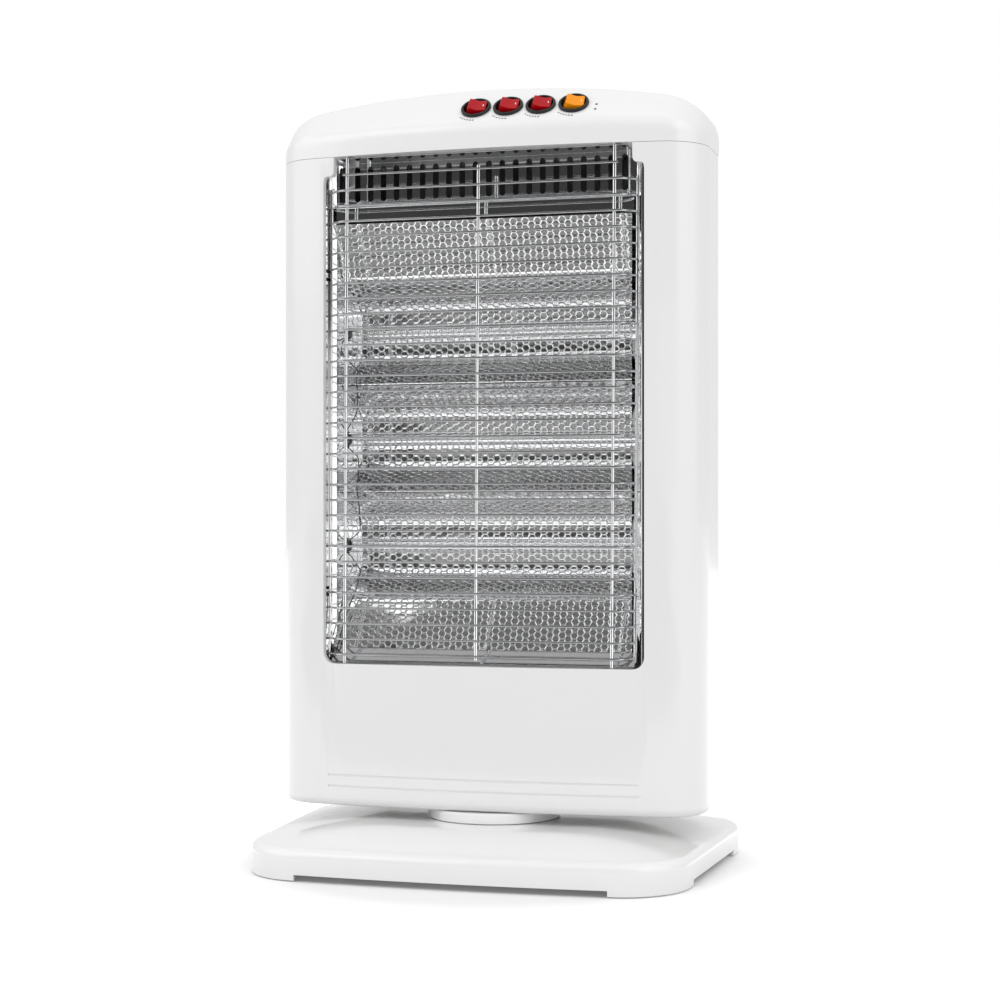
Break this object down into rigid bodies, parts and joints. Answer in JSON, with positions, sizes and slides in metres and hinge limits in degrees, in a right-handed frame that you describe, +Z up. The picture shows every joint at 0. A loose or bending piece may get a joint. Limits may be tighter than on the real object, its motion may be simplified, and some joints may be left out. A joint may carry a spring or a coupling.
{
  "type": "quartz heater",
  "caption": "Portable quartz tube heater: upright white case with polished reflectors behind a wire guard, rocker switches on a sloping top and a swivelling head on a broad flat stand.",
  "frame": {"origin": "on the floor, below the swing axis, at the centre of the stand", "axes": "+Z up, -Y toward the front window, +X to the right seen from the front"},
  "size_m": [0.3528, 0.262, 0.59],
  "materials": {
    "white_gloss": "smooth gloss white moulding",
    "white_satin": "satin white",
    "steel": "zinc plated sheet and screws",
    "rubber": "matt black",
    "nylon": "natural nylon",
    "polished_aluminium": "bright polished, embossed on the reflectors",
    "chrome": "bright plated wire",
    "black_plastic": "satin black moulding",
    "quartz": "clear fused quartz",
    "resistance_wire": "bare resistance wire",
    "ceramic": "unglazed white",
    "lead_sleeve": "woven heat-proof sleeve",
    "rocker_red": "translucent gloss red",
    "rocker_amber": "translucent gloss amber"
  },
  "bodies": {
    "stand": {"base_cover": "white_gloss", "base_plate": "steel", "base_screw_1": "steel", "base_screw_2": "steel", "base_screw_3": "steel", "base_screw_4": "steel", "base_foot_1": "rubber", "base_foot_2": "rubber", "base_foot_3": "rubber", "base_foot_4": "rubber", "swing_motor": "steel", "bearing_washer": "nylon"},
    "crank": {"swing_crank": "nylon"},
    "head": {"turntable_collar": "white_gloss", "retaining_plate": "steel", "retaining_screw_1": "steel", "retaining_screw_2": "steel", "body_floor": "white_satin", "front_frame": "white_gloss", "rear_shell": "white_gloss", "rear_screw_1": "steel", "rear_screw_2": "steel", "top_cap": "white_gloss", "side_panel_right": "polished_aluminium", "side_panel_left": "polished_aluminium", "reflector_1": "polished_aluminium", "reflector_2": "polished_aluminium", "reflector_3": "polished_aluminium", "vent_panel": "polished_aluminium", "bottom_tray": "polished_aluminium", "wire_guard": "chrome", "tilt_switch": "black_plastic", "terminal_block": "nylon", "thermal_cutout": "steel", "cord_gland": "black_plastic", "quartz_tube_1": "quartz", "heating_coil_1": "resistance_wire", "ceramic_cap_right_1": "ceramic", "ceramic_cap_left_1": "ceramic", "element_lead_1": "lead_sleeve", "quartz_tube_2": "quartz", "heating_coil_2": "resistance_wire", "ceramic_cap_right_2": "ceramic", "ceramic_cap_left_2": "ceramic", "element_lead_2": "lead_sleeve", "quartz_tube_3": "quartz", "heating_coil_3": "resistance_wire", "ceramic_cap_right_3": "ceramic", "ceramic_cap_left_3": "ceramic", "element_lead_3": "lead_sleeve", "switch_housing_1": "black_plastic", "switch_housing_2": "black_plastic", "switch_housing_3": "black_plastic", "switch_housing_4": "black_plastic"},
    "switch_rocker_1": {"rocker_1": "rocker_red"},
    "switch_rocker_2": {"rocker_2": "rocker_red"},
    "switch_rocker_3": {"rocker_3": "rocker_red"},
    "switch_rocker_4": {"rocker_4": "rocker_amber"}
  },
  "joints": [
    {"name": "swing", "type": "hinge", "parent": "stand", "child": "head", "pos_m": [0, 0, 0.037], "axis": [0, 0, 1], "range_deg": [-35, 35]},
    {"name": "crank_turn", "type": "hinge", "parent": "stand", "child": "crank", "pos_m": [0, 0.03, 0.0213], "axis": [0, 0, 1], "range_deg": [-90, 90]},
    {"name": "rocker_1_tilt", "type": "hinge", "parent": "head", "child": "switch_rocker_1", "pos_m": [-0.00499, -0.03136, 0.56995], "axis": [-0.0032, -0.7071, -0.7071], "range_deg": [0, 28]},
    {"name": "rocker_2_tilt", "type": "hinge", "parent": "head", "child": "switch_rocker_2", "pos_m": [0.01997, -0.03119, 0.56995], "axis": [0.0126, -0.7069, -0.7072], "range_deg": [0, 28]},
    {"name": "rocker_3_tilt", "type": "hinge", "parent": "head", "child": "switch_rocker_3", "pos_m": [0.04493, -0.03047, 0.56995], "axis": [0.0284, -0.7063, -0.7074], "range_deg": [0, 28]},
    {"name": "rocker_4_tilt", "type": "hinge", "parent": "head", "child": "switch_rocker_4", "pos_m": [0.06989, -0.02918, 0.56995], "axis": [0.0441, -0.705, -0.7078], "range_deg": [0, 28]}
  ],
  "couplings": [
    {"joint": "crank_turn", "follows": "swing", "ratio": 2.5714}
  ]
}
